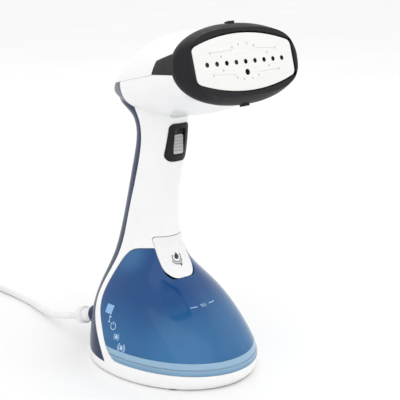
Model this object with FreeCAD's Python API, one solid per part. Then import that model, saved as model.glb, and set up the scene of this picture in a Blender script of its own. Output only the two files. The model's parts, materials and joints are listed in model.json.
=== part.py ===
"""Handheld garment steamer: hollow casings, water tank, steam head, trigger, pump, wiring and mains cord.

Millimetres, +Z up. The steam plate faces -Y. The shapes are laid out about the middle of the base,
and save() moves them so that the origin is under the middle of the whole steamer.
"""
import FreeCAD, Part
import math
import os

V = FreeCAD.Vector
os.makedirs("parts", exist_ok=True)

# ---- driving dimensions -------------------------------------------------------------------------
ORIGIN_SHIFT_Y = 18.0     # from the middle of the base to the middle of the whole steamer
WALL = 2.4                # moulded casing wall
SPINE_WALL = 2.2          # wall of the navy spine cover
TANK_WALL = 2.6           # water tank wall
TANK_FLOOR = 3.0          # thickness of the tank's bottom
FIT_GAP = 0.5             # between the tank and the casing that it slides out of
SECTION_POINTS = 28       # points round one cross-section
FOOT_HEIGHT = 1.2         # how far the rubber feet stand proud of the base
DECK_TOP = 14.0           # the tank stands on this deck
TANK_BAND_TOP = 24.0      # top of the pale band round the tank's foot
TANK_TOP = 106.0          # above everything of the tank
COLLAR_SEAM = 96.0        # seam between rear housing and handle
HANDLE_TOP = 226.0        # where the handle ends inside the head

# Body cross-sections: height, half width, front, widest place along Y, rear
BODY_SECTIONS = [
    (1.2, 66.5, -86.5, 0.0, 67.0),
    (14.0, 67.0, -92.0, 1.0, 67.8),
    (24.0, 65.5, -88.0, 4.0, 67.0),
    (38.0, 62.5, -75.0, 8.0, 65.5),
    (50.0, 59.0, -60.0, 11.0, 63.5),
    (62.0, 52.5, -43.5, 14.0, 61.5),
    (78.0, 38.5, -24.5, 18.0, 60.0),
    (95.0, 26.0, -13.5, 21.0, 58.0),
    (112.0, 20.8, -8.0, 21.5, 54.5),
    (130.0, 18.8, -6.0, 20.5, 49.5),
    (150.0, 18.0, -7.5, 18.0, 43.5),
    (175.0, 18.0, -12.5, 12.0, 36.0),
    (195.0, 18.2, -16.5, 8.0, 30.5),
    (208.0, 19.0, -18.0, 7.5, 30.0),
    (216.0, 20.0, -18.5, 8.0, 34.0),
    (222.0, 21.0, -18.0, 11.0, 43.0),
    (228.0, 21.5, -16.0, 14.0, 52.5),
    (234.0, 19.0, -12.0, 17.0, 57.0),
]
# Head cross-sections: middle Y, middle Z, half width, half height, lean back in degrees
HEAD_SECTIONS = [
    (-81.5, 267.6, 63.6, 31.0, 16.0),
    (-58.0, 262.2, 59.5, 33.0, 13.0),
    (-32.0, 256.8, 53.0, 34.0, 8.0),
    (-6.0, 252.0, 44.5, 31.2, 3.0),
    (18.0, 246.3, 35.0, 25.0, 0.0),
    (38.0, 240.8, 25.0, 15.5, 0.0),
    (51.0, 236.6, 16.0, 8.0, 0.0),
    (58.0, 234.6, 8.5, 3.6, 0.0),
]
REAR_POWER = 2.3          # squareness of the rear half of each section
FRONT_POWER_LOW = 2.0     # a plain ellipse round the tank
FRONT_POWER_HIGH = 2.3    # squarer round the handle
HEAD_POWER = 2.15

# Side-view lines, as Y and Z
TANK_EDGE = [(-8, 14), (3, 20), (9, 27), (17, 40), (24, 52), (28.5, 66), (29.5, 80),
             (26.5, 92), (19, 99), (6, 102.5), (-12, 104.5), (-36, 105.5)]
SPINE_EDGE = [(6, 9.5), (16, 23), (31, 44), (37, 68), (37, 96), (33, 125), (23.5, 156),
              (14.2, 187), (11.8, 206), (13.4, 217), (16.8, 227), (18.0, 238), (18.5, 250)]
SPINE_FOOT = 9.5
HEAD_SEAM_Z = 251.4       # height of the head's seam at Y = 0
HEAD_SEAM_SLOPE = -0.197

# Steam head front
PLATE_CENTRE = V(0, -95.0, 271.5)
PLATE_TILT = 16.0
PLATE_HALF_WIDTH = 53.0
PLATE_HALF_HEIGHT = 22.7
PLATE_SIDE_HALF = 13.5    # half height of the plate's side edges
PLATE_METAL = 1.2         # sheet that the plate is pressed from
PLATE_SKIRT = 4.0         # depth of its turned-back skirt
HOLE_PITCH = 10.0
HOLE_RADIUS = 1.9
DIMPLE_RADIUS = 1.6
BEZEL_WALL = 2.2
ARM_PROUD = 0.25          # how far the bezel's side arms stand out of the head
# Bezel sections: distance out of the plate's plane, half width, half height, squareness
BEZEL_SECTIONS = [
    (-14.0, 63.6, 31.0, 2.15),
    (-9.5, 65.0, 31.8, 2.15),
    (-4.0, 62.4, 29.8, 2.3),
    (0.8, 56.6, 26.2, 2.9),
]

DIMPLES = [(4.5, 13.5), (11.5, 11.5), (24.5, 5.2), (35.0, 8.4)]   # on the plate, and mirrored both ways

# Fill flap
FLAP_HALF = 16.2
FLAP_TOP = 113.0
FLAP_TIP = 79.0
FLAP_TIP_RADIUS = 10.5
FLAP_TOP_RADIUS = 2.5
POCKET_TIP_RADIUS = 6.6   # the pocket's lower corners, rounded less than the flap's
REACH_STEPS = 10
FLAP_THICK = 3.0
FLAP_GAP = 0.4
FLAP_PIN = (-14.0, 82.5)  # Y and Z of the hinge
FLAP_PIN_RADIUS = 1.2

# Trigger
TRIGGER_HALF = 5.2
TRIGGER_BOTTOM = 187.0
TRIGGER_TOP = 203.5
TRIGGER_PIN = (-9.0, 189.5)
TRIGGER_PIN_RADIUS = 1.25
TRIGGER_FACE = -15.5      # Y of the trigger's front face
TRIGGER_BACK = -11.0
RIB_COUNT = 5
RIB_PITCH = 2.8
EAR_INNER = 6.2           # the frame's two ears hold the trigger's pin
EAR_OUTER = 9.0
KNUCKLE_RADIUS = 3.0
SWITCH_LEVELS = (197.2, 210.2)
SPRING_RADIUS = 1.8
SPRING_WIRE = 0.3
SPRING_LENGTH = 4.8
SPRING_PLACE = V(0, -10.5, 194.9)

# Mains cord
CORD_RADIUS = 3.25
CORD_ROUTE = [(-43, 82, 24), (-42, 101, 17.6), (-39.5, 120, 11.8), (-35.5, 139, 7.2), (-31, 158, 4.4),
              (-27.5, 179, 3.5), (-26, 201, 3.4), (-26.4, 224, 3.4), (-28, 247, 3.4), (-28.8, 270, 3.4),
              (-29.2, 292, 3.4)]
TAIL_ROUTE = [(-112.8, 292, 22.9), (-113.6, 271, 20.6), (-113.0, 250, 18.0)]
COIL_CENTRE = V(-71.0, 292.0, 0)
COIL_INNER = 28.0
COIL_OUTER = 45.0
COIL_HEIGHT = 26.2
PLUG_RADIUS = 17.5
PLUG_LENGTH = 52.0
PIN_LENGTH = 19.0
PIN_RADIUS = 2.4
PIN_SPREAD = 9.5          # from the plug's middle to a pin's

# Steam chamber, behind the plate, as distances out of the plate's plane
CHAMBER_FRONT = -3.4
CHAMBER_FLOOR = -9.0
CHAMBER_BACK = -24.0
LID_BACK = -27.0
MOUNT_BACK = -30.5
ELEMENT_RADIUS = 3.2
ELEMENT_DEPTH = -17.0
PORT_PLACE = (22, 4)      # where the steam pipe meets the lid, in the plate's plane
PORT_BACK = -34.0
THERMOSTAT_PLACE = (-26, 4)
CHAMBER_SCREWS = [(x, y) for x in (-44, 44) for y in (-8, 8)]

# Base
SCREW_PLACES = [(-38, -44), (38, -44), (-40, 34), (40, 34)]
FOOT_PLACES = [(-42.5, -57), (42.5, -57), (-43, 43), (43, 43)]
FOOT_RADIUS = 5.6
FOOT_TOP = 2.4            # upper face of the feet, inside the base
BASE_PLATE_INSET = 3.0
BASE_PLATE_TOP = 3.6
SCREW_SEAT = 3.0          # the base screws' heads sit at this height
SCREW_BOSS_RADIUS = 4.0
SCREW_RADIUS = 1.5
SCREW_HEAD_RADIUS = 3.2
SCREW_HEAD_HEIGHT = 1.8
PUMP_WELL = (-24, 24, 34, 54, 5, 20)   # opening in the deck under the pump: X, Y and Z limits

# Tank fittings
FLOOR_GAP = 0.4           # between the deck and the tank's bottom
OUTLET_Z = 20.6
OUTLET_RADIUS = 3.2
SPIGOT_START = -3.0       # front end of the outlet spigot, inside the tank
SEAL_RADIUS = 5.5
RUNNING_GAP = 0.06        # between a pin and what turns on it, and round the outlet
SWING_RADIUS = 10.6       # room for the flap's tip as it swings
MOUTH_HALF = 12.0
MOUTH_BOTTOM = 91.6
MOUTH_TOP = 98.8
FILTER_PLACE = (0, -39.0)
FILTER_RADIUS = 5.5
FILTER_TOP = 31.0
WEB_LEVELS = (80.4, 84.6) # heights between which the hinge's webs run
GROOVE_LEVELS = (18.4, 19.4)
GROOVE_DEPTH = 0.8
TANK_INSIDE_BOTTOM = DECK_TOP + FLOOR_GAP + TANK_FLOOR

# Cord gland, on the left of the spine
GLAND_START = V(-43.0, 50.0, 34.6)
GLAND_AXIS = V(0, 0.949, -0.316)
GLAND_NECK = 4.9
GLAND_BOSS = 8.4
RELIEF_END = 33.7

# Pump, upright inside the spine
PUMP_Y = 45.6
PUMP_CORE_RADIUS = 5.5
PUMP_PORT_RADIUS = 2.2
COIL_HALF = 11.5
PIPE_RADIUS = 3.2         # soft tubes
CUSHION_HEIGHTS = (40.0, 77.0)

# Control board, upright in the handle
BOARD_FRONT = 8.0
BOARD_THICK = 1.6
BOARD_BOTTOM = 118.0
BOARD_TOP = 172.0

# Heater wires, as Y and Z down the handle
WIRE_LINE = [(-40, 250), (-20, 240), (-2, 226), (6, 207), (10.8, 190), (12.2, 170)]

# Indicator lens
LENS_Z = 221.1
LENS_HALF_WIDTH = 9.8
LENS_HALF_HEIGHT = 2.3


# ---- helpers ------------------------------------------------------------------------------------
def save(name, shape):
    """Writes one sub-part, moved to the steamer's own origin."""
    moved = shape.copy()
    moved.translate(V(0, ORIGIN_SHIFT_Y, 0))
    moved.exportStep("parts/%s.step" % name)
    print("%-22s solids %d volume %9.1f valid %s" % (name, len(moved.Solids), moved.Volume, moved.isValid()))


def signed_power(value, power):
    return math.copysign(abs(value) ** power, value)


def closed_curve(points):
    curve = Part.BSplineCurve()
    curve.interpolate(Points=points, PeriodicFlag=True)
    return Part.Wire(curve.toShape())


def front_power(z):
    """How square the front half of a body section is at height z."""
    share = min(1.0, max(0.0, (z - 62.0) / 50.0))
    return FRONT_POWER_LOW + share * (FRONT_POWER_HIGH - FRONT_POWER_LOW)


def body_wire(section, inset, z=None):
    height, half, front, widest, rear = section
    points = []
    for i in range(SECTION_POINTS):
        angle = 2 * math.pi * i / SECTION_POINTS
        c, s = math.cos(angle), math.sin(angle)
        depth = rear - inset - widest if s > 0 else widest - front - inset
        power = REAR_POWER if s > 0 else front_power(height)
        x = (half - inset) * signed_power(c, 2 / power)
        y = widest + depth * signed_power(s, 2 / power)
        points.append(V(x, y, height if z is None else z))
    return closed_curve(points)


def body_solid(inset):
    """The body's outer form, shrunk by inset. A shrunk one runs on below the base."""
    wires = [body_wire(section, inset) for section in BODY_SECTIONS]
    if inset > 0:
        wires.insert(0, body_wire(BODY_SECTIONS[0], inset, -8.0))
    return Part.makeLoft(wires, True, False, False)


def head_wire(section, inset, shift=0.0):
    y, z, half_width, half_height, lean = section
    lean = math.radians(lean)
    points = []
    for i in range(SECTION_POINTS):
        angle = 2 * math.pi * i / SECTION_POINTS
        x = (half_width - inset) * signed_power(math.cos(angle), 2 / HEAD_POWER)
        up = (half_height - inset) * signed_power(math.sin(angle), 2 / HEAD_POWER)
        back = up * math.sin(lean) + shift * math.cos(lean)
        points.append(V(x, y + back, z + up * math.cos(lean) - shift * math.sin(lean)))
    return closed_curve(points)


def head_solid(inset):
    """The head's outer form behind the bezel, shrunk by inset. A shrunk one runs on through the bezel."""
    sections = HEAD_SECTIONS if inset <= 0 else HEAD_SECTIONS[:-1]
    wires = [head_wire(section, inset) for section in sections]
    if inset > 0:
        wires.insert(0, head_wire(HEAD_SECTIONS[0], inset, -12.0))
    return Part.makeLoft(wires, True, False, False)


def side_prism(edges, half_width=110.0):
    """A solid whose side view is the closed outline made of these edges."""
    wire = Part.Wire(Part.__sortEdges__(edges))
    wire.translate(V(-half_width, 0, 0))
    return Part.Face(wire).extrude(V(2 * half_width, 0, 0))


def offset_line(line, distance):
    """Moves each point of a side-view line square to the line, to its left as the line runs."""
    moved = []
    for i, (y, z) in enumerate(line):
        before, after = line[max(i - 1, 0)], line[min(i + 1, len(line) - 1)]
        along_y, along_z = after[0] - before[0], after[1] - before[1]
        length = math.hypot(along_y, along_z)
        moved.append((y - along_z / length * distance, z + along_y / length * distance))
    return moved


def side_curve(line):
    curve = Part.BSplineCurve()
    curve.interpolate([V(0, y, z) for y, z in line])
    return curve.toShape()


def polyline_edges(points):
    return [Part.makeLine(a, b) for a, b in zip(points, points[1:])]


def region(line, corners, offset=0.0):
    """A side prism bounded by a curved line, moved by offset, and straight edges through the corners."""
    line = offset_line(line, offset) if offset else line
    path = [V(0, y, z) for y, z in [line[-1]] + corners + [line[0]]]
    return side_prism([side_curve(line)] + polyline_edges(path))


def box(x0, x1, y0, y1, z0, z1):
    return Part.makeBox(x1 - x0, y1 - y0, z1 - z0, V(x0, y0, z0))


def rod(radius, start, end):
    start, end = V(start), V(end)
    return Part.makeCylinder(radius, (end - start).Length, start, end - start)


def ring(outer, inner, start, end):
    return rod(outer, start, end).cut(rod(inner, start, end))


def rounded_outline(corners):
    """A closed outline in the XZ plane at Y = 0. Each corner gives X, Z and its radius."""
    arcs = []
    for i, (x, z, radius) in enumerate(corners):
        here = V(x, 0, z)
        into = here - V(corners[i - 1][0], 0, corners[i - 1][1])
        following = corners[(i + 1) % len(corners)]
        out = V(following[0], 0, following[1]) - here
        turn = into.getAngle(out)
        reach = radius * math.tan(turn / 2)
        into.normalize()
        out.normalize()
        bisector = out - into
        bisector.normalize()
        middle = here + bisector * (radius / math.cos(turn / 2) - radius)
        arcs.append((here - into * reach, middle, here + out * reach))
    edges = []
    for (start, middle, end), (next_start, _, _) in zip(arcs, arcs[1:] + arcs[:1]):
        edges.append(Part.Arc(start, middle, end).toShape())
        edges.append(Part.makeLine(end, next_start))
    return Part.Wire(edges)


def rounded_rectangle(half_x, z0, z1, radius):
    places = [(-half_x, z0), (half_x, z0), (half_x, z1), (-half_x, z1)]
    return rounded_outline([(x, z, radius) for x, z in places])


def front_prism(wire, y0, y1):
    """An outline in the XZ plane, run along Y from y0 to y1."""
    moved = wire.copy()
    moved.translate(V(0, y0, 0))
    return Part.Face(moved).extrude(V(0, y1 - y0, 0))


def rounded_path(points):
    """Straight runs joined by tangent arcs, each as large as its two runs allow. Returns wire and radii."""
    points = [V(p) for p in points]
    edges, radii, last = [], [], points[0]
    for before, here, after in zip(points, points[1:], points[2:]):
        into, out = here - before, after - here
        turn = into.getAngle(out)
        reach = 0.45 * min(into.Length, out.Length)
        radius = reach / math.tan(turn / 2)
        into.normalize()
        out.normalize()
        start, end = here - into * reach, here + out * reach
        bisector = out - into
        bisector.normalize()
        middle = here + bisector * (radius / math.cos(turn / 2) - radius)
        edges.append(Part.LineSegment(last, start).toShape())
        edges.append(Part.Arc(start, middle, end).toShape())
        radii.append(radius)
        last = end
    edges.append(Part.LineSegment(last, points[-1]).toShape())
    return Part.Wire(edges), radii


def tube(name, points, radius):
    """A round tube along a rounded path, with a check of its volume."""
    path, radii = rounded_path(points)
    start = V(points[0])
    direction = V(points[1]) - start
    solid = path.makePipeShell([Part.Wire(Part.makeCircle(radius, start, direction))], True, False)
    expected = math.pi * radius ** 2 * path.Length
    print("  %s: least bend %.1f, length %.1f, volume ratio %.4f"
          % (name, min(radii), path.Length, solid.Volume / expected))
    return solid


def pan_screw(place, direction, length):
    """A pan-head screw with a cross slot. Its head sits behind place and its shank runs along direction."""
    place, direction = V(place), V(direction)
    back = place - direction * SCREW_HEAD_HEIGHT
    head = rod(1.9 * SCREW_RADIUS, back, place)
    slot = box(-0.4, 0.4, -1.8, 1.8, -0.1, 0.9).fuse(box(-1.8, 1.8, -0.4, 0.4, -0.1, 0.9))
    slot.translate(back)
    return head.cut(slot).fuse(rod(SCREW_RADIUS, place, place + direction * length))


def head_frame(shape):
    """Stands a shape drawn in the plate's own plane (X across, Y up the plate, Z out of it) in the head."""
    placed = shape.copy()
    placed.rotate(V(0, 0, 0), V(1, 0, 0), 90 - PLATE_TILT)
    placed.translate(PLATE_CENTRE)
    return placed


def plate_outline(grow, z=0.0, side=PLATE_SIDE_HALF):
    """Straight sides with arched top and bottom, grown evenly, in the plate's own plane."""
    a, b, c = PLATE_HALF_WIDTH + grow, PLATE_HALF_HEIGHT + grow, side + grow * 0.8
    arcs = [
        Part.makeLine(V(-a, c, z), V(-a, -c, z)),
        Part.Arc(V(-a, -c, z), V(0, -b, z), V(a, -c, z)).toShape(),
        Part.makeLine(V(a, -c, z), V(a, c, z)),
        Part.Arc(V(a, c, z), V(0, b, z), V(-a, c, z)).toShape(),
    ]
    return Part.Wire(arcs)


def plate_slab(grow, z0, z1, corner=6.5):
    slab = Part.Face(plate_outline(grow, z0)).extrude(V(0, 0, z1 - z0))
    upright = [e for e in slab.Edges if abs(e.tangentAt(e.FirstParameter).z) > 0.99]
    return slab.makeFillet(corner, upright)


def gland_point(along):
    return GLAND_START + GLAND_AXIS * along


def oval_wire(half_x, half_y, z, power=2.3):
    points = []
    for i in range(SECTION_POINTS):
        angle = 2 * math.pi * i / SECTION_POINTS
        points.append(V(half_x * signed_power(math.cos(angle), 2 / power),
                        half_y * signed_power(math.sin(angle), 2 / power), z))
    return closed_curve(points)


# ---- the forms that the casings share -----------------------------------------------------------
BODY = body_solid(0)
BODY_IN = body_solid(WALL)
HEAD = head_solid(0)
HEAD_IN = head_solid(WALL)
SPINE_ZONE = region(SPINE_EDGE, [(130, 250), (130, SPINE_FOOT)])
TANK_ZONE = region(TANK_EDGE, [(-130, 105.0), (-130, 13)], FIT_GAP)
TANK_HOLLOW_ZONE = region(TANK_EDGE, [(-130, 102.5), (-130, 13)], FIT_GAP + TANK_WALL)
BEHIND_TANK = region(TANK_EDGE, [(-130, 105.5), (-130, 260), (130, 260), (130, 12)])
BEHIND_WALL = region(TANK_EDGE, [(-130, 108), (-130, 260), (130, 260), (130, 5)], -WALL)
SEAM_TOP = side_prism(polyline_edges([
    V(0, -130, HEAD_SEAM_Z + 130 * -HEAD_SEAM_SLOPE), V(0, 130, HEAD_SEAM_Z + 130 * HEAD_SEAM_SLOPE),
    V(0, 130, 400), V(0, -130, 400), V(0, -130, HEAD_SEAM_Z + 130 * -HEAD_SEAM_SLOPE)]))


FRAME_WIRE = rounded_outline([
    (-12.4, 180.4, 6.8), (12.4, 180.4, 6.8), (10.2, 213.7, 4.5), (-10.2, 213.7, 4.5)])
LENS_WIRE = rounded_rectangle(LENS_HALF_WIDTH, LENS_Z - LENS_HALF_HEIGHT, LENS_Z + LENS_HALF_HEIGHT, 2.2)


def largest(shape):
    return max(shape.Solids, key=lambda solid: solid.Volume)


def slab(z0, z1):
    """Everything between two heights."""
    return box(-120, 120, -140, 140, z0, z1)


# ---- base ---------------------------------------------------------------------------------------
def make_base():
    feet = [rod(FOOT_RADIUS, (x, y, 0), (x, y, FOOT_TOP)) for x, y in FOOT_PLACES]
    screws = [pan_screw((x, y, SCREW_SEAT), (0, 0, 1), 7.6) for x, y in SCREW_PLACES]
    shell = BODY.common(slab(FOOT_HEIGHT, DECK_TOP)).cut(SPINE_ZONE)
    shell = shell.cut(body_solid(BASE_PLATE_INSET).common(slab(-5, DECK_TOP - WALL)))
    shell = shell.cut(box(*PUMP_WELL))
    for x, y in SCREW_PLACES:
        shell = shell.fuse(rod(SCREW_BOSS_RADIUS, (x, y, BASE_PLATE_TOP), (x, y, DECK_TOP - WALL)))
        shell = shell.cut(rod(SCREW_RADIUS, (x, y, 1), (x, y, 11)))
    for foot in feet:
        shell = shell.cut(foot)
    save("base_deck", largest(shell))

    plate = body_solid(BASE_PLATE_INSET).common(slab(FOOT_HEIGHT, BASE_PLATE_TOP))
    for foot in feet:
        plate = plate.cut(foot)
    for x, y in SCREW_PLACES:
        plate = plate.cut(rod(SCREW_HEAD_RADIUS, (x, y, 0), (x, y, SCREW_SEAT)))
        plate = plate.cut(rod(SCREW_RADIUS, (x, y, 0), (x, y, 5)))
    save("base_plate", plate)
    save("rubber_feet", Part.makeCompound(feet))
    save("base_screws", Part.makeCompound(screws))


# ---- white casings of the body ------------------------------------------------------------------
def flap_outline(grow, tip_radius=FLAP_TIP_RADIUS):
    """The flap's outline seen from the front, grown evenly."""
    x, low, high = FLAP_HALF + grow, FLAP_TIP - grow, FLAP_TOP + grow
    tip, top = tip_radius + grow, FLAP_TOP_RADIUS + grow
    return rounded_outline([(-x, low, tip), (x, low, tip), (x, high, top), (-x, high, top)])


def flap_pocket():
    """The recess in tank and handle that the flap lies in. Its lower corners leave room for the swing."""
    recess = front_prism(flap_outline(FLAP_GAP, POCKET_TIP_RADIUS), -60, 6)
    return recess.cut(body_solid(FLAP_THICK + FLAP_GAP))


def flap_reach():
    """The room that the flap's outer top edge clears as it turns about its pin, 0.1 mm inside that edge."""
    _, half, front, widest, _ = BODY_SECTIONS[8]
    profile = []
    for i in range(-REACH_STEPS, REACH_STEPS + 1):
        x = FLAP_HALF * math.sin(math.pi / 2 * i / REACH_STEPS)
        past = max(0.0, abs(x) - (FLAP_HALF - FLAP_TOP_RADIUS))
        top = FLAP_TOP - FLAP_TOP_RADIUS + math.sqrt(FLAP_TOP_RADIUS ** 2 - past ** 2)
        bulge = (1 - (abs(x) / half) ** FRONT_POWER_HIGH) ** (1 / FRONT_POWER_HIGH)
        y = widest - (widest - front) * bulge
        profile.append(V(x, 0, math.hypot(y - FLAP_PIN[0], top - FLAP_PIN[1]) - 0.1))
    ends = [V(FLAP_HALF, 0, 0), V(-FLAP_HALF, 0, 0), profile[0]]
    face = Part.Face(Part.Wire(polyline_edges(profile + ends)))
    reach = face.revolve(V(0, 0, 0), V(1, 0, 0), 360)
    reach.translate(V(0, *FLAP_PIN))
    return reach


def make_white_casings():
    white = BODY.common(BEHIND_TANK).common(slab(DECK_TOP, HANDLE_TOP)).cut(SPINE_ZONE)
    behind_flap = front_prism(flap_outline(2.5), -60, 30)
    hollow = BODY_IN.common(BEHIND_WALL).common(slab(DECK_TOP + WALL, 260))
    white = white.cut(hollow.cut(behind_flap.cut(body_solid(FLAP_THICK + FLAP_GAP + WALL))))
    rear = white.common(slab(DECK_TOP, COLLAR_SEAM))
    rear = rear.cut(rod(SEAL_RADIUS, (0, -30, OUTLET_Z), (0, 40, OUTLET_Z)))
    rear = rear.cut(box(*PUMP_WELL))
    save("rear_housing", largest(rear))

    handle = white.common(slab(COLLAR_SEAM, HANDLE_TOP)).cut(HEAD)
    handle = handle.cut(flap_pocket())
    handle = handle.cut(front_prism(FRAME_WIRE, -60, 0))
    handle = handle.cut(front_prism(LENS_WIRE, -60, 0))
    save("handle_shell", largest(handle))


def make_spine():
    skin = BODY.fuse(HEAD).common(SPINE_ZONE).cut(SEAM_TOP)
    skin = skin.cut(body_solid(SPINE_WALL)).cut(head_solid(SPINE_WALL))
    skin = largest(skin).fuse(rod(GLAND_BOSS, gland_point(-9), gland_point(1)))
    skin = skin.cut(rod(GLAND_NECK, gland_point(-20), gland_point(30)))
    save("spine_cover", largest(skin))


# ---- water tank ---------------------------------------------------------------------------------
def hinge_rod(radius, x0, x1):
    return rod(radius, (x0, *FLAP_PIN), (x1, *FLAP_PIN))


def outlet_point(y):
    return V(0, y, OUTLET_Z)


def make_tank():
    wide = FLAP_HALF + FLAP_GAP
    outer = BODY.common(TANK_ZONE).common(slab(DECK_TOP + FLOOR_GAP, TANK_TOP))
    hollow = body_solid(TANK_WALL).common(TANK_HOLLOW_ZONE).common(slab(TANK_INSIDE_BOTTOM, TANK_TOP))
    hollow = hollow.cut(front_prism(flap_outline(3.0), -60, 30).cut(body_solid(FLAP_THICK + FLAP_GAP + WALL)))
    hollow = hollow.cut(hinge_rod(SWING_RADIUS + WALL, -wide - WALL, wide + WALL))
    tank = outer.cut(hollow).cut(flap_pocket())
    outline = rounded_rectangle(wide, FLAP_TIP - 9, FLAP_TOP, 11.0)
    swing = hinge_rod(SWING_RADIUS, -wide, wide).common(slab(60, FLAP_PIN[1]))
    swing = swing.fuse(hinge_rod(4.4, -wide, wide))
    tank = tank.cut(swing.common(front_prism(outline, -60, 30)).common(body_solid(1.0)))
    lug = hinge_rod(2.2, -5, 5).fuse(box(-5, 5, FLAP_PIN[0], FLAP_PIN[0] + SWING_RADIUS + 1, *WEB_LEVELS))
    tank = tank.fuse(lug).cut(hinge_rod(FLAP_PIN_RADIUS, -6, 6))
    tank = tank.cut(box(-MOUTH_HALF, MOUTH_HALF, -30, 9, MOUTH_BOTTOM, MOUTH_TOP))
    save("water_tank", largest(tank.common(slab(TANK_BAND_TOP, TANK_TOP))))

    groove = BODY.cut(body_solid(GROOVE_DEPTH)).common(slab(*GROOVE_LEVELS))
    band = largest(tank.common(slab(DECK_TOP + FLOOR_GAP, TANK_BAND_TOP)).cut(groove))
    band = band.fuse(rod(OUTLET_RADIUS, outlet_point(SPIGOT_START), outlet_point(13)))
    band = band.cut(rod(OUTLET_RADIUS - 1.2, outlet_point(SPIGOT_START), outlet_point(30)))
    save("tank_foot_band", largest(band))

    seal = ring(SEAL_RADIUS, OUTLET_RADIUS + RUNNING_GAP, outlet_point(-20), outlet_point(16))
    save("outlet_seal", largest(seal.common(BEHIND_TANK)))
    strainer = rod(FILTER_RADIUS, (*FILTER_PLACE, TANK_INSIDE_BOTTOM), (*FILTER_PLACE, FILTER_TOP))
    for z in (25.0, 27.0, 29.0):
        slot = ring(FILTER_RADIUS + 1, FILTER_RADIUS - 0.6, (*FILTER_PLACE, z), (*FILTER_PLACE, z + 0.8))
        strainer = strainer.cut(slot)
    save("tank_filter", strainer)
    pipe = ring(3.0, 2.0, outlet_point(FILTER_PLACE[1] + FILTER_RADIUS - 0.1), outlet_point(SPIGOT_START))
    save("suction_pipe", largest(pipe.cut(strainer).cut(band)))


def make_flap():
    flap = front_prism(flap_outline(0), -60, 6).common(BODY).cut(body_solid(FLAP_THICK))
    flap = largest(flap.common(flap_reach()))
    inside = body_solid(0.8)
    for side in (-1, 1):
        x0, x1 = sorted((side * 5.6, side * 8.6))
        web = box(x0, x1, -24, FLAP_PIN[0], *WEB_LEVELS).common(inside)
        flap = flap.fuse(web).fuse(hinge_rod(2.6, x0, x1))
    flap = flap.cut(hinge_rod(FLAP_PIN_RADIUS + RUNNING_GAP, -9, 9))
    save("fill_flap", largest(flap))
    save("flap_pin", hinge_rod(FLAP_PIN_RADIUS, -8.6, 8.6))
    gasket = box(-MOUTH_HALF + 0.8, MOUTH_HALF - 0.8, -30, 9, MOUTH_BOTTOM + 0.8, MOUTH_TOP - 1.2)
    gasket = gasket.common(body_solid(FLAP_THICK)).cut(body_solid(FLAP_THICK + 1.6))
    save("fill_gasket", largest(gasket))


# ---- head ---------------------------------------------------------------------------------------
def arm_outline(grow):
    """Side view of the bezel's arm, grown evenly."""
    corners = [V(0, -86, 265.0 - grow), V(0, -52.0 + grow * 1.2, 262.0 - grow),
               V(0, -57.0 + grow, 273.0 + grow), V(0, -86, 282.6 + grow)]
    return side_prism(polyline_edges(corners + corners[:1]))


def head_seam_groove():
    """The shallow groove that the two head shells leave between them."""
    y = 130
    drop = y * HEAD_SEAM_SLOPE
    low, high = HEAD_SEAM_Z - 0.2, HEAD_SEAM_Z + 0.2
    corners = [V(0, -y, low - drop), V(0, y, low + drop), V(0, y, high + drop), V(0, -y, high - drop)]
    return side_prism(polyline_edges(corners + corners[:1])).cut(head_solid(0.7))


def make_head_shells():
    shell = HEAD.cut(HEAD_IN)
    shell = shell.cut(head_seam_groove())
    lower = shell.cut(SEAM_TOP).cut(SPINE_ZONE).cut(BODY_IN.common(slab(190, 236))).cut(arm_outline(0))
    save("head_lower_shell", largest(lower))
    upper = shell.common(SEAM_TOP).cut(arm_outline(0))
    save("head_top_cover", largest(upper))


def bezel_form(inset):
    """The bezel's outer form in the plate's plane, from its back edge to its front lip."""
    stations = BEZEL_SECTIONS
    if inset:
        stations = [(-20.0, *stations[0][1:])] + stations[:-1] + [(-1.4, 59.0, 27.6, 2.6)]
    wires = [oval_wire(a - inset, b - inset, z, power) for z, a, b, power in stations]
    return Part.makeLoft(wires, True, False, False)


def make_bezel():
    bezel = bezel_form(0).cut(bezel_form(BEZEL_WALL))
    bezel = bezel.cut(Part.Face(plate_outline(0.5, -6)).extrude(V(0, 0, 12)))
    for side in (-1, 1):
        tab = box(-3.0, 3.0, *sorted((side * 30.5, side * 33.2)), -12.5, -7.5)
        bezel = bezel.fuse(tab.cut(bezel_form(BEZEL_WALL)))
    arms = head_solid(-ARM_PROUD).cut(head_solid(BEZEL_WALL)).common(arm_outline(-0.3))
    save("nozzle_bezel", Part.makeCompound([head_frame(largest(bezel))] + arms.Solids))


def make_plate():
    """A pressed steel pan: a flat face with a turned-back skirt, and its steam holes."""
    pan = plate_slab(0, -PLATE_SKIRT, 0.0)
    pan = pan.makeFillet(0.9, [edge for edge in pan.Edges if edge.BoundBox.ZMin > -0.1])
    pan = pan.cut(plate_slab(-PLATE_METAL, -PLATE_SKIRT, -PLATE_METAL, 4.0))
    for i in range(-4, 5):
        pan = pan.cut(rod(HOLE_RADIUS, (HOLE_PITCH * i, 0, -6), (HOLE_PITCH * i, 0, 2)))
    pan = pan.cut(rod(2.4, (0, -8.2, -6), (0, -8.2, 2)))
    for mirror_x in (-1, 1):
        for mirror_y in (-1, 1):
            for x, y in DIMPLES:
                pan = pan.cut(Part.makeSphere(DIMPLE_RADIUS, V(mirror_x * x, mirror_y * y, 1.15)))
            outer_end = V(mirror_x * 33.0, mirror_y * 8.4, 1.2)
            inner_end = V(mirror_x * 13.0, mirror_y * 9.4, 1.2)
            pan = pan.cut(rod(1.35, outer_end, inner_end))
    save("steam_plate", head_frame(pan))
    gasket = plate_slab(-1.4, CHAMBER_FRONT, -PLATE_METAL, 4.0)
    gasket = gasket.cut(plate_slab(-5.0, CHAMBER_FRONT, -PLATE_METAL, 4.0))
    save("plate_gasket", head_frame(gasket))


def behind_plate(radius, place, back, front):
    """A rod square to the plate, at a place in its plane."""
    return rod(radius, (*place, back), (*place, front))


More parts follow.
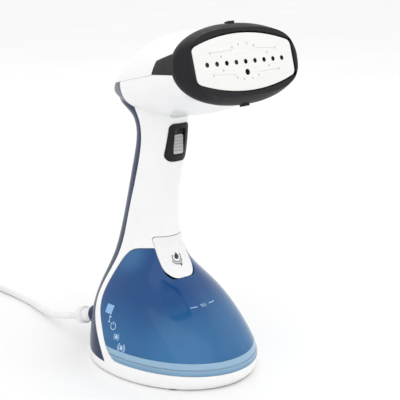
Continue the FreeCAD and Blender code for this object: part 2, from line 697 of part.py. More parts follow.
def make_steam_chamber():
    near, far, across = -6, 8, ELEMENT_DEPTH
    element_path = [(-10, near, -37), (-10, near, across), (-36, near - 0.5, across), (-37, far, across),
                    (37, far, across), (36, near - 0.5, across), (10, near, across), (10, near, -37)]
    element = tube("heating_element", element_path, ELEMENT_RADIUS)
    chamber = plate_slab(-1.8, CHAMBER_BACK, CHAMBER_FRONT)
    chamber = chamber.cut(plate_slab(-6.0, CHAMBER_FLOOR, CHAMBER_FRONT, 4.0))
    for i, x in enumerate((-26, -9, 9, 26)):
        side = 1 if i % 2 == 0 else -1
        y0, y1 = sorted((side * -18, side * 9))
        chamber = chamber.fuse(box(x - 1.2, x + 1.2, y0, y1, CHAMBER_FLOOR - 0.2, CHAMBER_FRONT - 0.6))
    chamber = chamber.cut(element).cut(behind_plate(2.4, PORT_PLACE, -25, -8))
    lid = plate_slab(-3.0, LID_BACK, CHAMBER_BACK, 4.0).cut(element)
    lid = lid.fuse(behind_plate(3.4, PORT_PLACE, PORT_BACK, LID_BACK + 0.5))
    lid = lid.cut(behind_plate(2.0, PORT_PLACE, PORT_BACK - 2, CHAMBER_BACK + 1))
    screws = Part.makeCompound([pan_screw((x, y, LID_BACK), (0, 0, 1), 9) for x, y in CHAMBER_SCREWS])
    save("steam_chamber", head_frame(largest(chamber.cut(screws))))
    save("chamber_lid", head_frame(largest(lid.cut(screws))))
    save("heating_element", head_frame(element))
    save("chamber_screws", head_frame(screws))
    thermostat = behind_plate(8.0, THERMOSTAT_PLACE, -32, LID_BACK)
    save("thermostat", head_frame(thermostat.fuse(behind_plate(4.5, THERMOSTAT_PLACE, -35, -32))))
    save("thermal_fuse", head_frame(rod(2.2, (-7, 8.4, -29.2), (7, 8.4, -29.2))))
    mount_front = MOUNT_BACK + 3
    mount = plate_slab(2.0, MOUNT_BACK, mount_front).cut(plate_slab(-11.0, MOUNT_BACK, mount_front, 4.0))
    mount = mount.cut(behind_plate(10, THERMOSTAT_PLACE, -32, -26)).cut(behind_plate(5, PORT_PLACE, -36, -26))
    for place in CHAMBER_SCREWS:
        mount = mount.cut(behind_plate(SCREW_HEAD_RADIUS, place, -31, -26))
    save("chamber_mount", largest(head_frame(mount).common(HEAD_IN)))


# ---- trigger, switch and lamp -------------------------------------------------------------------
def trigger_rod(radius, x0, x1):
    return rod(radius, (x0, *TRIGGER_PIN), (x1, *TRIGGER_PIN))


def make_trigger():
    frame = front_prism(FRAME_WIRE, -60, 0).common(body_solid(-0.8)).cut(BODY_IN)
    frame = frame.cut(front_prism(rounded_rectangle(TRIGGER_HALF + 0.7, 186.2, 209.0, 2.0), -60, 0))
    frame = largest(frame)
    for side in (-1, 1):
        x0, x1 = sorted((side * EAR_INNER, side * EAR_OUTER))
        ear = box(x0, x1, TRIGGER_FACE, -8.0, 186.5, 192.5).fuse(trigger_rod(KNUCKLE_RADIUS, x0, x1))
        frame = frame.fuse(ear.common(body_solid(1.0)))
    frame = frame.cut(trigger_rod(TRIGGER_PIN_RADIUS, -12, 12))
    save("trigger_bezel", largest(frame))

    outline = rounded_rectangle(TRIGGER_HALF, TRIGGER_BOTTOM, TRIGGER_TOP, 1.6)
    trigger = front_prism(outline, TRIGGER_FACE, TRIGGER_BACK)
    for i in range(RIB_COUNT):
        z = TRIGGER_BOTTOM + 2.6 + RIB_PITCH * i
        trigger = trigger.cut(front_prism(rounded_rectangle(4.4, z, z + 1.3, 0.6), -20, TRIGGER_FACE + 0.7))
    knuckle = box(-4.2, 4.2, -13.0, -9.0, TRIGGER_BOTTOM, 192.0).fuse(trigger_rod(KNUCKLE_RADIUS, -4.2, 4.2))
    trigger = trigger.fuse(knuckle)
    trigger = trigger.cut(trigger_rod(TRIGGER_PIN_RADIUS + RUNNING_GAP, -7, 7))
    save("trigger", largest(trigger))
    save("trigger_pin", trigger_rod(TRIGGER_PIN_RADIUS, -EAR_OUTER, EAR_OUTER))

    switch = box(-3.4, 3.4, -6.4, 3.0, *SWITCH_LEVELS)
    holder = box(-14, 14, -5.2, -3.2, 184, 212).common(body_solid(WALL + 0.05))
    save("switch_holder", largest(holder.cut(switch)))
    save("microswitch", switch.fuse(rod(1.2, (0, -8.8, 200), (0, -6, 200))))
    helix = Part.Wire(Part.makeHelix(1.0, SPRING_LENGTH, SPRING_RADIUS))
    section = Part.Wire(Part.makeCircle(SPRING_WIRE, V(SPRING_RADIUS, 0, 0), V(0, 1, 0)))
    spring = helix.makePipeShell([section], True, False)
    spring.rotate(V(0, 0, 0), V(1, 0, 0), -90)
    spring.translate(SPRING_PLACE)
    save("trigger_spring", spring)

    lens = front_prism(LENS_WIRE, -60, 0).common(body_solid(-0.5)).cut(BODY_IN).cut(HEAD)
    save("indicator_lens", largest(lens))
    save("indicator_lamp", rod(1.5, (0, -15.2, LENS_Z), (0, -9.0, LENS_Z)))


# ---- pump, pipes and wiring ---------------------------------------------------------------------
def pump_rod(radius, z0, z1):
    return rod(radius, (0, PUMP_Y, z0), (0, PUMP_Y, z1))


def make_pump():
    coil = box(-COIL_HALF, COIL_HALF, PUMP_Y - 11, PUMP_Y + 11, 46, 74)
    core = pump_rod(PUMP_CORE_RADIUS, 38, 86).fuse(pump_rod(PUMP_PORT_RADIUS, 34, 92))
    save("pump_coil", coil.cut(pump_rod(PUMP_CORE_RADIUS, 30, 100)))
    save("pump_core", core.cut(pump_rod(PUMP_PORT_RADIUS - 1, 30, 95)))
    bracket = box(-14, 14, 32.4, 34.2, 38, 84)
    cushions = []
    for z in CUSHION_HEIGHTS:
        bracket = bracket.fuse(box(-11, 11, 34.2, 56, z, z + 3)).cut(pump_rod(8, z - 1, z + 4))
        cushions.append(pump_rod(8, z, z + 3).cut(pump_rod(PUMP_CORE_RADIUS, z, z + 3)))
    save("pump_bracket", largest(bracket))
    save("pump_rubbers", Part.makeCompound(cushions))
    route = [(0, 16, OUTLET_Z), (0, 30, 20.8), (0, 42, 24.5), (0, PUMP_Y, 34)]
    save("inlet_tube", tube("inlet_tube", route, PIPE_RADIUS).cut(core))
    port = head_frame(Part.Vertex(*PORT_PLACE, PORT_BACK + 0.5)).Point
    route = [(0, PUMP_Y, 92), (0, 44.5, 111), (0, 39, 131), (0, 31, 151), (0, 23.5, 171), (0, 16.5, 190),
             (1, 10, 208), (4, -1, 225), (10, -18, 241), (17, -38, 255), tuple(port)]
    save("steam_feed_tube", tube("steam_feed_tube", route, PIPE_RADIUS).cut(core))


def make_wiring():
    save("control_board", box(-10, 10, BOARD_FRONT, BOARD_FRONT + BOARD_THICK, BOARD_BOTTOM, BOARD_TOP))
    relay = box(-8, 8, 0, BOARD_FRONT, 124, 140)
    capacitor = rod(4.0, (3, BOARD_FRONT, 150), (3, -1, 150))
    connector = box(-8, 2, 3, BOARD_FRONT, 160, 169)
    save("board_parts", Part.makeCompound([relay, capacitor, connector]))
    block = box(-30, -12, 24, 34, 16.4, 27)
    save("terminal_block", block)
    stub = tube("cord_inside", [gland_point(-12), (-42.6, 31.0, 37.5), (-40.5, 27.5, 30), (-30, 29, 22)], 3.2)
    save("cord_inside", largest(stub.cut(block).cut(make_relief())))
    wires = []
    for post_x, xs in ((-10, (-10.5, -11, -11.5, -11.5, -9, -8)), (10, (8, 2, -5, -6, -5, -3.5))):
        post = head_frame(Part.Vertex(post_x, -6, -37.2)).Point
        route = [tuple(post)] + [(x, y, z) for x, (y, z) in zip(xs, WIRE_LINE)]
        wires.append(tube("heater wire", route, 1.3))
    save("heater_wires", Part.makeCompound(wires))


# ---- mains cord ---------------------------------------------------------------------------------
def turned(profile, start, axis):
    """A solid turned about an axis: the profile lists radius and distance along the axis."""
    points = [V(0, 0, profile[0][1])] + [V(r, 0, s) for r, s in profile] + [V(0, 0, profile[-1][1])]
    face = Part.Face(Part.Wire(polyline_edges(points + points[:1])))
    solid = face.revolve(V(0, 0, 0), V(0, 0, 1), 360)
    solid.Placement = FreeCAD.Placement(V(start), FreeCAD.Rotation(V(0, 0, 1), V(axis)))
    return solid


def make_relief():
    """The bush in the gland and the sleeve that the cord leaves through."""
    bush = [(7.0, -12), (7.0, -9), (GLAND_NECK, -9), (GLAND_NECK, 1)]
    neck = [(6.6, 1), (6.6, 5), (5.6, 5.6), (5.6, 7.4), (6.2, 8), (6.2, 16)]
    collar = [(7.7, 17.2), (8.0, 18.5), (8.0, 23.5), (7.4, 25), (5.4, 26.2), (3.9, RELIEF_END)]
    return turned(bush + neck + collar, GLAND_START, GLAND_AXIS)


def make_cord():
    save("strain_relief", make_relief())
    save("mains_cord", tube("mains_cord", CORD_ROUTE, CORD_RADIUS))
    save("mains_cord_tail", tube("mains_cord_tail", TAIL_ROUTE, CORD_RADIUS))
    save("cord_coil", ring(COIL_OUTER, COIL_INNER, COIL_CENTRE, COIL_CENTRE + V(0, 0, COIL_HEIGHT)))
    start = V(TAIL_ROUTE[-1])
    body = turned([(4.2, 0), (5.6, 14), (9.0, 18), (15.0, 22), (PLUG_RADIUS, 25), (PLUG_RADIUS, 46),
                   (16.6, 50), (16.6, PLUG_LENGTH)], start, V(0, -1, 0))
    save("plug_body", body)
    pins = []
    for x in (-PIN_SPREAD, PIN_SPREAD):
        face = start + V(x, -PLUG_LENGTH, 0)
        pins.append(rod(PIN_RADIUS, face, face + V(0, -PIN_LENGTH, 0)))
    save("plug_pins", Part.makeCompound(pins))


make_base()
make_white_casings()
make_spine()
make_tank()
make_flap()
make_head_shells()
make_bezel()
make_plate()
make_steam_chamber()
make_trigger()
make_pump()
make_wiring()
make_cord()
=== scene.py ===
import json
import math

import bmesh
import bpy
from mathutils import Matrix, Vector
from mathutils.bvhtree import BVHTree


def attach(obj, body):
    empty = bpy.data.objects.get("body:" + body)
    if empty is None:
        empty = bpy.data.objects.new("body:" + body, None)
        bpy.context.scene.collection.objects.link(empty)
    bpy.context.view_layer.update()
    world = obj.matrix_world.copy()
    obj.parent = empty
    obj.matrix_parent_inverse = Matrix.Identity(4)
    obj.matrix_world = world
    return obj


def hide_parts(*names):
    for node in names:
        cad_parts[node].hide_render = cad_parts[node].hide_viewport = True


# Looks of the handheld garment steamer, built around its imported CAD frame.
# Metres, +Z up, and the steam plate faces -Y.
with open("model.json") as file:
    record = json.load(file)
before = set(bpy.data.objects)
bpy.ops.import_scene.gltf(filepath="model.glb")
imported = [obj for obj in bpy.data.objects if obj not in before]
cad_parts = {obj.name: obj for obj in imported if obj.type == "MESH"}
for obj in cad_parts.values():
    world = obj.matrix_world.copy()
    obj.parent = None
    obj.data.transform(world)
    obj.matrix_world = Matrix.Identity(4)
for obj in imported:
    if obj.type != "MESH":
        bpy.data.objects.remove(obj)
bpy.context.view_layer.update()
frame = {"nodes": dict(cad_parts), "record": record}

MM = 0.001
NODES = frame["nodes"]

# ---- camera -------------------------------------------------------------------------------------
CAMERA_PLACE = Vector((-0.51601, -0.59661, 0.35151))
CAMERA_LOOK = Vector((0.64843, 0.71866, -0.25110))
CAMERA_LENS = 85.59


def make_camera():
    data = bpy.data.cameras.new("camera")
    data.lens = CAMERA_LENS
    data.sensor_width = 36.0
    data.clip_start = 0.01
    data.clip_end = 20.0
    camera = bpy.data.objects.new("camera", data)
    camera.location = CAMERA_PLACE
    camera.rotation_euler = CAMERA_LOOK.to_track_quat("-Z", "Y").to_euler()
    bpy.context.scene.collection.objects.link(camera)
    bpy.context.scene.camera = camera


make_camera()

# ---- mains cord ---------------------------------------------------------------------------------
CORD_RADIUS = 0.00325
# the same route as the CAD tube's: out of the strain relief, down to the table and back to the coil
CORD_ROUTE = [
    (-0.0430, 0.100, 0.0240), (-0.0420, 0.119, 0.0176), (-0.0395, 0.138, 0.0118), (-0.0355, 0.157, 0.0072),
    (-0.0310, 0.176, 0.0044), (-0.0275, 0.197, 0.0035), (-0.0260, 0.219, 0.0034), (-0.0264, 0.242, 0.0034),
    (-0.0280, 0.265, 0.0034), (-0.0288, 0.288, 0.0034), (-0.0292, 0.310, 0.0034),
]
TAIL_ROUTE = [(-0.1128, 0.310, 0.0229), (-0.1136, 0.289, 0.0206), (-0.1130, 0.268, 0.0180)]
COIL_CENTRE = Vector((-0.0710, 0.310, 0.0))
COIL_LAYERS = 4
TABLE_HEIGHT = 0.0034     # height of the cord's middle line where it lies on the table
COIL_STEPS = 16           # spline points to a turn
COIL_OUT = 0.0418         # radius of the outermost turn's middle line
COIL_IN = 0.0313
LAYER_RISE = 0.00652
LAYER_TURNS = 1.6125      # turns in one layer
STEP_TURNS = 0.35         # turns in which the cord climbs to the next layer


def coil_radius_and_height(turns):
    """Where the cord lies after that many turns: layers wound inwards and outwards by turns."""
    layer = 0
    while layer < COIL_LAYERS - 1 and turns > LAYER_TURNS + STEP_TURNS:
        turns -= LAYER_TURNS + STEP_TURNS
        layer += 1
    start, end = (COIL_OUT, COIL_IN) if layer % 2 == 0 else (COIL_IN, COIL_OUT)
    share = min(1.0, turns / LAYER_TURNS)
    climb = min(1.0, max(0.0, (turns - LAYER_TURNS) / STEP_TURNS))
    if layer == COIL_LAYERS - 1:
        climb = 0.0
    climb = climb * climb * (3 - 2 * climb)
    return start + (end - start) * share, TABLE_HEIGHT + LAYER_RISE * (layer + climb)


def coil_points():
    total = COIL_LAYERS * LAYER_TURNS + (COIL_LAYERS - 1) * STEP_TURNS
    count = round(total * COIL_STEPS)
    points = []
    for i in range(1, count):
        turns = total * i / count
        radius, height = coil_radius_and_height(turns)
        angle = 2 * math.pi * turns
        points.append(COIL_CENTRE + Vector((radius * math.cos(angle), radius * math.sin(angle), height)))
    return points


def spline_object(name, points, radius):
    curve = bpy.data.curves.new(name, "CURVE")
    curve.dimensions = "3D"
    curve.resolution_u = 6
    curve.bevel_depth = 1.0   # times each point's radius
    curve.bevel_resolution = 6
    curve.use_fill_caps = True
    spline = curve.splines.new("NURBS")
    spline.points.add(len(points) - 1)
    for point, place in zip(spline.points, points):
        point.co = (*place, 1.0)
        point.radius = radius
    spline.order_u = 3
    spline.use_endpoint_u = True
    obj = bpy.data.objects.new(name, curve)
    bpy.context.scene.collection.objects.link(obj)
    return obj


def make_cord():
    points = [Vector(p) for p in CORD_ROUTE] + coil_points() + [Vector(p) for p in TAIL_ROUTE]
    cord = spline_object("cord", points, CORD_RADIUS)
    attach(cord, "housing")
    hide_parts("mains_cord", "mains_cord_tail", "cord_coil")
    return cord


cord = make_cord()


# ---- materials ----------------------------------------------------------------------------------
def new_material(name):
    material = bpy.data.materials.new(name)
    material.use_nodes = True
    shader = material.node_tree.nodes["Principled BSDF"]
    return material, material.node_tree, shader


def add(tree, kind, **values):
    node = tree.nodes.new(kind)
    for key, value in values.items():
        if key in node.inputs:
            node.inputs[key].default_value = value
        else:
            setattr(node, key, value)
    return node


def coordinates(tree, scale=(1, 1, 1)):
    """Object coordinates, which are the row frame's metres, scaled."""
    source = add(tree, "ShaderNodeTexCoord")
    mapping = add(tree, "ShaderNodeMapping")
    mapping.inputs["Scale"].default_value = scale
    tree.links.new(source.outputs["Object"], mapping.inputs["Vector"])
    return mapping.outputs["Vector"]


def noise(tree, scale, detail=3.0, stretch=(1, 1, 1)):
    node = add(tree, "ShaderNodeTexNoise", Scale=scale, Detail=detail)
    tree.links.new(coordinates(tree, stretch), node.inputs["Vector"])
    return node.outputs["Fac"]


def remap(tree, value, low, high, start=0.3, end=0.7):
    node = add(tree, "ShaderNodeMapRange")
    node.inputs["From Min"].default_value = start
    node.inputs["From Max"].default_value = end
    node.inputs["To Min"].default_value = low
    node.inputs["To Max"].default_value = high
    tree.links.new(value, node.inputs["Value"])
    return node.outputs["Result"]


def two_tone(tree, value, dark, light):
    ramp = add(tree, "ShaderNodeValToRGB")
    ramp.color_ramp.elements[0].position = 0.3
    ramp.color_ramp.elements[1].position = 0.7
    ramp.color_ramp.elements[0].color = (*dark, 1)
    ramp.color_ramp.elements[1].color = (*light, 1)
    tree.links.new(value, ramp.inputs["Fac"])
    return ramp.outputs["Color"]


def bumped(tree, shader, height, strength, distance, edge=0.0):
    """Adds a height map to the shader's normal, over edges rounded by a bevel of radius edge."""
    bump = add(tree, "ShaderNodeBump", Strength=strength, Distance=distance)
    tree.links.new(height, bump.inputs["Height"])
    if edge:
        bevel = add(tree, "ShaderNodeBevel", samples=4)
        bevel.inputs["Radius"].default_value = edge
        tree.links.new(bevel.outputs["Normal"], bump.inputs["Normal"])
    tree.links.new(bump.outputs["Normal"], shader.inputs["Normal"])


def plastic(name, dark, light, rough=(0.25, 0.35), grain=900.0, grain_depth=0.00002, edge=0.0, specular=0.5,
            subsurface=0.0):
    """Moulded plastic: a little colour drift, uneven gloss and a fine grain."""
    material, tree, shader = new_material(name)
    drift = noise(tree, 45.0, 4.0)
    tree.links.new(two_tone(tree, drift, dark, light), shader.inputs["Base Color"])
    gloss = noise(tree, 130.0, 5.0)
    tree.links.new(remap(tree, gloss, rough[0], rough[1]), shader.inputs["Roughness"])
    bumped(tree, shader, noise(tree, grain, 2.0), 0.35, grain_depth, edge)
    shader.inputs["IOR"].default_value = 1.5
    shader.inputs["Specular IOR Level"].default_value = specular
    if subsurface:
        shader.inputs["Subsurface Weight"].default_value = subsurface
        shader.inputs["Subsurface Radius"].default_value = (0.004, 0.004, 0.0035)
    return material


def height_share(tree, bottom, top, waver):
    """0 at the bottom height and 1 at the top one, wavering a little."""
    split = add(tree, "ShaderNodeSeparateXYZ")
    tree.links.new(coordinates(tree), split.inputs["Vector"])
    share = remap(tree, split.outputs["Z"], 0.0, 1.0, bottom, top)
    mix = add(tree, "ShaderNodeMath", operation="MULTIPLY_ADD")
    tree.links.new(noise(tree, 22.0, 2.0), mix.inputs[0])
    mix.inputs[1].default_value = waver
    tree.links.new(share, mix.inputs[2])
    return mix.outputs["Value"]


def painted_highlight(tree, colour, centre, radius, light, amount):
    """Paints a highlight: mixes a lighter colour in round a place, fading out at radius."""
    apart = add(tree, "ShaderNodeVectorMath", operation="DISTANCE")
    tree.links.new(coordinates(tree), apart.inputs[0])
    apart.inputs[1].default_value = centre
    share = add(tree, "ShaderNodeMapRange", interpolation_type="SMOOTHSTEP")
    share.inputs["From Min"].default_value = 0.25 * radius
    share.inputs["From Max"].default_value = radius
    share.inputs["To Min"].default_value = amount
    share.inputs["To Max"].default_value = 0.0
    tree.links.new(apart.outputs["Value"], share.inputs["Value"])
    mix = add(tree, "ShaderNodeMixRGB")
    tree.links.new(share.outputs["Result"], mix.inputs["Fac"])
    tree.links.new(colour, mix.inputs["Color1"])
    mix.inputs["Color2"].default_value = (*light, 1)
    return mix.outputs["Color"]


def tinted(name, low, high, transmission, rough, edge=0.0, heights=(0.0, 0.1), specular=0.5, painted_highlights=()):
    """Clear coloured plastic, with soft flow marks from its mould and painted highlights round given places.
    Its colour changes with height.
    """
    material, tree, shader = new_material(name)
    share = height_share(tree, *heights, 0.25)
    colour = two_tone(tree, share, low, high)
    for centre, radius, light, amount in painted_highlights:
        colour = painted_highlight(tree, colour, centre, radius, light, amount)
    tree.links.new(colour, shader.inputs["Base Color"])
    gloss = noise(tree, 60.0, 3.0)
    tree.links.new(remap(tree, gloss, rough, rough + 0.05), shader.inputs["Roughness"])
    bumped(tree, shader, noise(tree, 25.0, 1.0), 0.2, 0.0001, edge)
    shader.inputs["IOR"].default_value = 1.49
    shader.inputs["Specular IOR Level"].default_value = specular
    shader.inputs["Transmission Weight"].default_value = transmission
    return material


def shaded(tree, colour, reach):
    """Paints shade into a colour in its own recesses, as far as reach."""
    recess_shade = add(tree, "ShaderNodeAmbientOcclusion", samples=8, only_local=True)
    recess_shade.inputs["Distance"].default_value = reach
    tree.links.new(colour, recess_shade.inputs["Color"])
    return recess_shade.outputs["Color"]


def metal(name, dark, light, rough=(0.25, 0.4), stretch=(1, 1, 1), scale=400.0, depth=0.00002, edge=0.0,
          reach=0.002):
    """Bare metal, with fine marks in its colour, gloss and surface, and painted shade in its recesses."""
    material, tree, shader = new_material(name)
    shader.inputs["Metallic"].default_value = 1.0
    marks = noise(tree, scale, 5.0, stretch)
    tree.links.new(shaded(tree, two_tone(tree, marks, dark, light), reach), shader.inputs["Base Color"])
    tree.links.new(remap(tree, marks, rough[0], rough[1]), shader.inputs["Roughness"])
    bumped(tree, shader, marks, 0.3, depth, edge)
    return material


EDGE = 0.0006
# painted highlights on the clear tank, and painted light through its thin top corner: centre, radius, colour
# and strength
TANK_PAINTED_HIGHLIGHTS = [
    ((-0.030, -0.040, 0.026), 0.045, (0.07, 0.27, 0.54), 0.35),
    ((0.030, -0.050, 0.050), 0.050, (0.06, 0.23, 0.46), 0.40),
    ((-0.030, 0.036, 0.098), 0.024, (0.09, 0.33, 0.58), 0.34),
]
MATERIALS = {
    "white_shell": plastic("white_shell", (0.875, 0.875, 0.877), (0.89, 0.89, 0.892), (0.28, 0.31), 1400.0,
                           0.00001, specular=0.35, subsurface=0.03),
    "navy_shell": plastic("navy_shell", (0.009, 0.021, 0.066), (0.013, 0.028, 0.082), (0.24, 0.3), edge=EDGE,
                          specular=0.2),
    "tank_blue": tinted("tank_blue", (0.028, 0.160, 0.390), (0.010, 0.082, 0.275), 0.25, 0.06,
                        heights=(0.02, 0.10), specular=0.3, painted_highlights=TANK_PAINTED_HIGHLIGHTS),
    # the band is lighter towards its top: a painted highlight along its top edge
    "band_blue": tinted("band_blue", (0.26, 0.50, 0.74), (0.44, 0.68, 0.90), 0.4, 0.10, EDGE, (0.014, 0.022)),
    "flap_white": plastic("flap_white", (0.82, 0.82, 0.82), (0.86, 0.86, 0.86), (0.22, 0.30), 1400.0, 0.00001,
                          edge=0.0004),
    "bezel_black": plastic("bezel_black", (0.010, 0.010, 0.012), (0.015, 0.015, 0.017), (0.42, 0.52), 1600.0,
                           0.00004, edge=0.0008, specular=0.2),
    "plate_steel": metal("plate_steel", (0.73, 0.73, 0.72), (0.79, 0.79, 0.78), (0.2, 0.3), (1, 10, 10), 60.0,
                         0.000003, reach=0.0025),
    "trigger_grey": plastic("trigger_grey", (0.42, 0.42, 0.425), (0.48, 0.48, 0.485), (0.3, 0.4),
                            edge=0.0003),
    "lens_clear": tinted("lens_clear", (0.74, 0.79, 0.775), (0.82, 0.86, 0.845), 0.2, 0.2, 0.0003,
                         (0.218, 0.224)),
    "lamp": tinted("lamp", (0.8, 0.8, 0.5), (0.9, 0.9, 0.6), 0.8, 0.05, heights=(0.219, 0.223)),
    "inner_plastic": plastic("inner_plastic", (0.55, 0.55, 0.55), (0.65, 0.65, 0.65), (0.4, 0.5), edge=EDGE),
    "rubber_dark": plastic("rubber_dark", (0.020, 0.020, 0.022), (0.035, 0.035, 0.038), (0.65, 0.8), 700.0,
                           0.00006, edge=0.0005),
    "rubber_soft": plastic("rubber_soft", (0.55, 0.54, 0.50), (0.65, 0.64, 0.60), (0.5, 0.6), edge=0.0003),
    "chamber_aluminium": metal("chamber_aluminium", (0.42, 0.42, 0.43), (0.60, 0.60, 0.61), (0.4, 0.55),
                               scale=500.0, depth=0.0001, edge=EDGE),
    "steel": metal("steel", (0.50, 0.50, 0.50), (0.62, 0.62, 0.62), (0.25, 0.35), edge=0.0002),
    "element_steel": metal("element_steel", (0.22, 0.19, 0.16), (0.36, 0.33, 0.30), (0.4, 0.6), scale=200.0),
    "fuse_body": metal("fuse_body", (0.45, 0.45, 0.45), (0.6, 0.6, 0.6), (0.25, 0.35)),
    "pump_winding": plastic("pump_winding", (0.03, 0.03, 0.035), (0.05, 0.05, 0.055), (0.3, 0.4), edge=EDGE),
    "board_green": plastic("board_green", (0.015, 0.12, 0.04), (0.025, 0.17, 0.06), (0.25, 0.35)),
    "board_black": plastic("board_black", (0.02, 0.02, 0.02), (0.035, 0.035, 0.035), (0.35, 0.45),
                           edge=0.0003),
    "wire_sleeve": plastic("wire_sleeve", (0.60, 0.60, 0.52), (0.72, 0.72, 0.64), (0.6, 0.75), 1500.0,
                           0.0001),
    "cord_white": plastic("cord_white", (0.80, 0.80, 0.80), (0.86, 0.86, 0.86), (0.38, 0.5), 1200.0, 0.00003,
                          edge=0.0004),
    "plug_white": plastic("plug_white", (0.80, 0.80, 0.80), (0.86, 0.86, 0.86), (0.35, 0.45), edge=0.0006),
    "pin_brass": metal("pin_brass", (0.60, 0.52, 0.38), (0.72, 0.64, 0.48), (0.2, 0.3), edge=0.0003),
}


def dress(obj, slot):
    obj.data.materials.clear()
    obj.data.materials.append(MATERIALS[slot])


for part in frame["record"]["subparts"]:
    dress(NODES[part["node"]], part["material_slot"])
dress(cord, "cord_white")


# ---- printed marks ------------------------------------------------------------------------------
def surface_of(node):
    mesh = NODES[node].data
    return BVHTree.FromPolygons([v.co for v in mesh.vertices], [p.vertices for p in mesh.polygons])


def print_material(name, colour):
    return plastic(name, tuple(0.94 * c for c in colour), colour, (0.4, 0.5), 2000.0, 0.00001)


WHITE_INK = print_material("white_ink", (0.42, 0.60, 0.80))
LABEL_INK = print_material("label_ink", (0.24, 0.44, 0.72))
DARK_INK = print_material("dark_ink", (0.03, 0.03, 0.035))

INK = 0.0001              # how far the ink stands off the plastic
STAND_BACK = 0.05         # how far in front of the print's place the rays start


def stroke(points, width, closed=False):
    """A flat ribbon along a 2-D line, as a list of quads."""
    points = [Vector(p) for p in points]
    count = len(points)
    left, right = [], []
    for i, point in enumerate(points):
        before = points[i - 1] if (i or closed) else point
        after = points[(i + 1) % count] if (i < count - 1 or closed) else point
        along = (after - before).normalized()
        side = Vector((-along.y, along.x)) * width / 2
        left.append(point + side)
        right.append(point - side)
    pairs = range(count) if closed else range(count - 1)
    return [[left[i], left[(i + 1) % count], right[(i + 1) % count], right[i]] for i in pairs]


def line(a, b, width, steps=6):
    a, b = Vector(a), Vector(b)
    return stroke([a.lerp(b, i / steps) for i in range(steps + 1)], width)


def arc(centre, radius, start, end, width, steps=24):
    points = []
    for i in range(steps + 1):
        angle = math.radians(start + (end - start) * i / steps)
        points.append((centre[0] + radius * math.cos(angle), centre[1] + radius * math.sin(angle)))
    return stroke(points, width)


def blob(outline):
    """A filled shape, as a fan of triangles round its middle."""
    outline = [Vector(p) for p in outline]
    middle = sum(outline, Vector((0, 0))) / len(outline)
    return [[middle, a, b] for a, b in zip(outline, outline[1:] + outline[:1])]


def drop(centre, size):
    """A water drop with its tip up."""
    outline = []
    for i in range(24):
        angle = 2 * math.pi * i / 24
        pull = max(0.0, math.sin(angle)) ** 3
        outline.append((centre[0] + 0.5 * size * math.cos(angle) * (1 - 0.75 * pull),
                        centre[1] + 0.5 * size * math.sin(angle) * (1 + 0.55 * pull)))
    return outline


LETTERS = {
    "M": [[(0, 0), (0, 1), (0.35, 0.35), (0.7, 1), (0.7, 0)]],
    "A": [[(0, 0), (0.35, 1), (0.7, 0)], [(0.14, 0.38), (0.56, 0.38)]],
    "X": [[(0, 0), (0.7, 1)], [(0, 1), (0.7, 0)]],
}


def word(text, centre, height, width):
    faces = []
    x = centre[0] - (len(text) * 0.95 - 0.25) * height / 2
    for letter in text:
        for run in LETTERS[letter]:
            points = [(x + px * height, centre[1] + (py - 0.5) * height) for px, py in run]
            for a, b in zip(points, points[1:]):
                faces += line(a, b, width, 2)
        x += 0.95 * height
    return faces


def printed(name, faces, node, place, across, up, look, ink, body):
    """Lays a flat drawing on a node: each point goes along look until it meets the surface."""
    tree = surface_of(node)
    place, across, up, look = Vector(place), Vector(across), Vector(up), Vector(look).normalized()
    mesh = bmesh.new()
    for face in faces:
        corners = []
        for point in face:
            start = place + across * point.x + up * point.y - look * STAND_BACK
            hit, normal, _, _ = tree.ray_cast(start, look)
            if hit is None:
                corners = []
                break
            if normal.dot(look) > 0:
                normal = -normal
            corners.append(mesh.verts.new(hit + normal * INK))
        if corners:
            mesh.faces.new(corners)
    bmesh.ops.remove_doubles(mesh, verts=mesh.verts, dist=1e-7)
    bmesh.ops.recalc_face_normals(mesh, faces=mesh.faces)
    data = bpy.data.meshes.new(name)
    mesh.to_mesh(data)
    mesh.free()
    obj = bpy.data.objects.new(name, data)
    obj.data.materials.append(ink)
    bpy.context.scene.collection.objects.link(obj)
    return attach(obj, body)


FRONT_VIEW = {"across": (1, 0, 0), "up": (0, 0, 1), "look": (0, 1, 0)}
LEFT_VIEW = {"across": (0, -1, 0), "up": (0, 0, 1), "look": (1, 0, 0)}


def scaled(faces, scale):
    return [[point * scale for point in face] for face in faces]


def make_level_mark():
    """The fill line's word between two dashes."""
    faces = word("MAX", (0, 0), 2.0, 0.27)
    for side in (-1, 1):
        faces += line((side * 6.6, 0), (side * 13.8, 0), 0.42, 10)
    printed("level_mark", scaled(faces, MM), "water_tank", (0.0002, -0.03, 0.0594), **FRONT_VIEW,
            ink=WHITE_INK, body="tank")


def power_sign(size, width):
    return arc((0, 0), size, 120, 420, width) + line((0, 0.35 * size), (0, 1.25 * size), width, 3)


def steam_sign(arcs, size, width):
    """A drop, with arcs of vapour beside it."""
    faces = blob(drop((0, 0), 1.3 * size))
    for i in range(arcs):
        radius = size * (1.1 + 0.5 * i)
        faces += arc((0, 0), radius, -60, 60, width) + arc((0, 0), radius, 120, 240, width)
    return faces


def bottle_sign():
    """A small upright spray bottle."""
    trigger = line((-1.3, 2.2), (1.6, 2.2), 1.1, 3)
    neck = line((0, 1.8), (0, -1.8), 0.8, 4)
    foot = line((-1.2, -2.2), (1.2, -2.2), 1.0)
    return trigger + neck + foot


PANEL_WIDTH = 8.6
PANEL_HEIGHT = 7.2
PANEL_ROWS = 9


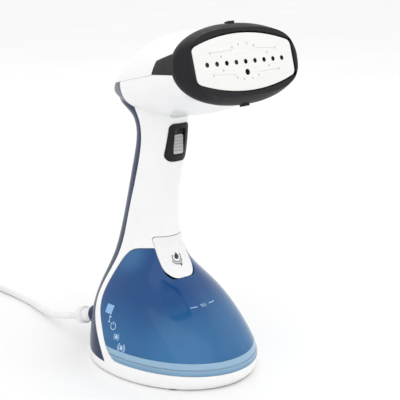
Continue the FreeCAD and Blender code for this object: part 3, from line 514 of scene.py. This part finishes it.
def make_guide_marks():
    """The pale panel and the row of signs down the tank's left flank."""
    panel = []
    for i in range(PANEL_ROWS):
        height = PANEL_HEIGHT / PANEL_ROWS
        z = (i + 0.5) * height - PANEL_HEIGHT / 2
        panel += line((-PANEL_WIDTH / 2, z), (PANEL_WIDTH / 2, z), height, 12)
    printed("guide_panel", scaled(panel, MM), "water_tank", (-0.06, 0.0283, 0.0542), **LEFT_VIEW,
            ink=LABEL_INK, body="tank")
    signs = {
        "guide_bottle": (bottle_sign(), 0.0248, 0.0467),
        "guide_power": (power_sign(3.0, 0.75), 0.0187, 0.0424),
        "guide_steam": (steam_sign(1, 2.7, 0.6), 0.0124, 0.0347),
        "guide_steam_strong": (steam_sign(2, 2.6, 0.6), 0.0048, 0.0272),
    }
    for name, (faces, y, z) in signs.items():
        printed(name, scaled(faces, MM), "water_tank", (-0.06, y, z), **LEFT_VIEW, ink=WHITE_INK, body="tank")


def make_flap_mark():
    """The filling sign: a drop in a broken ring with an arrowhead under it."""
    faces = blob(drop((0, 0.3), 4.6))
    faces += arc((0, 0), 4.3, 150, 390, 0.75) + arc((0, 0), 5.9, 205, 335, 0.7)
    faces += blob([(1.2, -6.4), (4.6, -5.6), (2.4, -8.2)])
    printed("flap_mark", scaled(faces, MM), "fill_flap", (-0.0012, -0.01, 0.0952), **FRONT_VIEW,
            ink=DARK_INK, body="flap")


make_level_mark()
make_guide_marks()
make_flap_mark()


# ---- floor and light ----------------------------------------------------------------------------
WORLD_STRENGTH = 1.03


def make_stage():
    material, tree, shader = new_material("floor")
    drift = noise(tree, 3.0, 3.0)
    tree.links.new(two_tone(tree, drift, (0.90, 0.90, 0.90), (0.92, 0.92, 0.92)), shader.inputs["Base Color"])
    shader.inputs["Roughness"].default_value = 0.7
    bpy.ops.mesh.primitive_plane_add(size=12, location=(0, 0, 0))
    floor = bpy.context.object
    floor.name = "floor"
    floor.data.materials.append(material)

    world = bpy.data.worlds.new("world")
    world.use_nodes = True
    background = world.node_tree.nodes["Background"]
    background.inputs["Color"].default_value = (1, 1, 1, 1)
    background.inputs["Strength"].default_value = WORLD_STRENGTH
    bpy.context.scene.world = world
    bpy.context.scene.view_settings.view_transform = "Standard"


def make_light(name, place, target, size, power):
    data = bpy.data.lights.new(name, "AREA")
    data.shape = "RECTANGLE"
    data.size, data.size_y = size
    data.energy = power
    light = bpy.data.objects.new(name, data)
    light.location = place
    light.rotation_euler = (Vector(target) - Vector(place)).to_track_quat("-Z", "Y").to_euler()
    bpy.context.scene.collection.objects.link(light)


make_stage()
MIDDLE = (0, 0, 0.15)
make_light("key", (-0.9, -1.3, 1.9), MIDDLE, (2.4, 2.0), 7)
make_light("fill", (1.4, -0.9, 1.2), MIDDLE, (1.8, 1.4), 2)
make_light("back", (0.6, 1.6, 1.6), MIDDLE, (2.0, 1.6), 3)
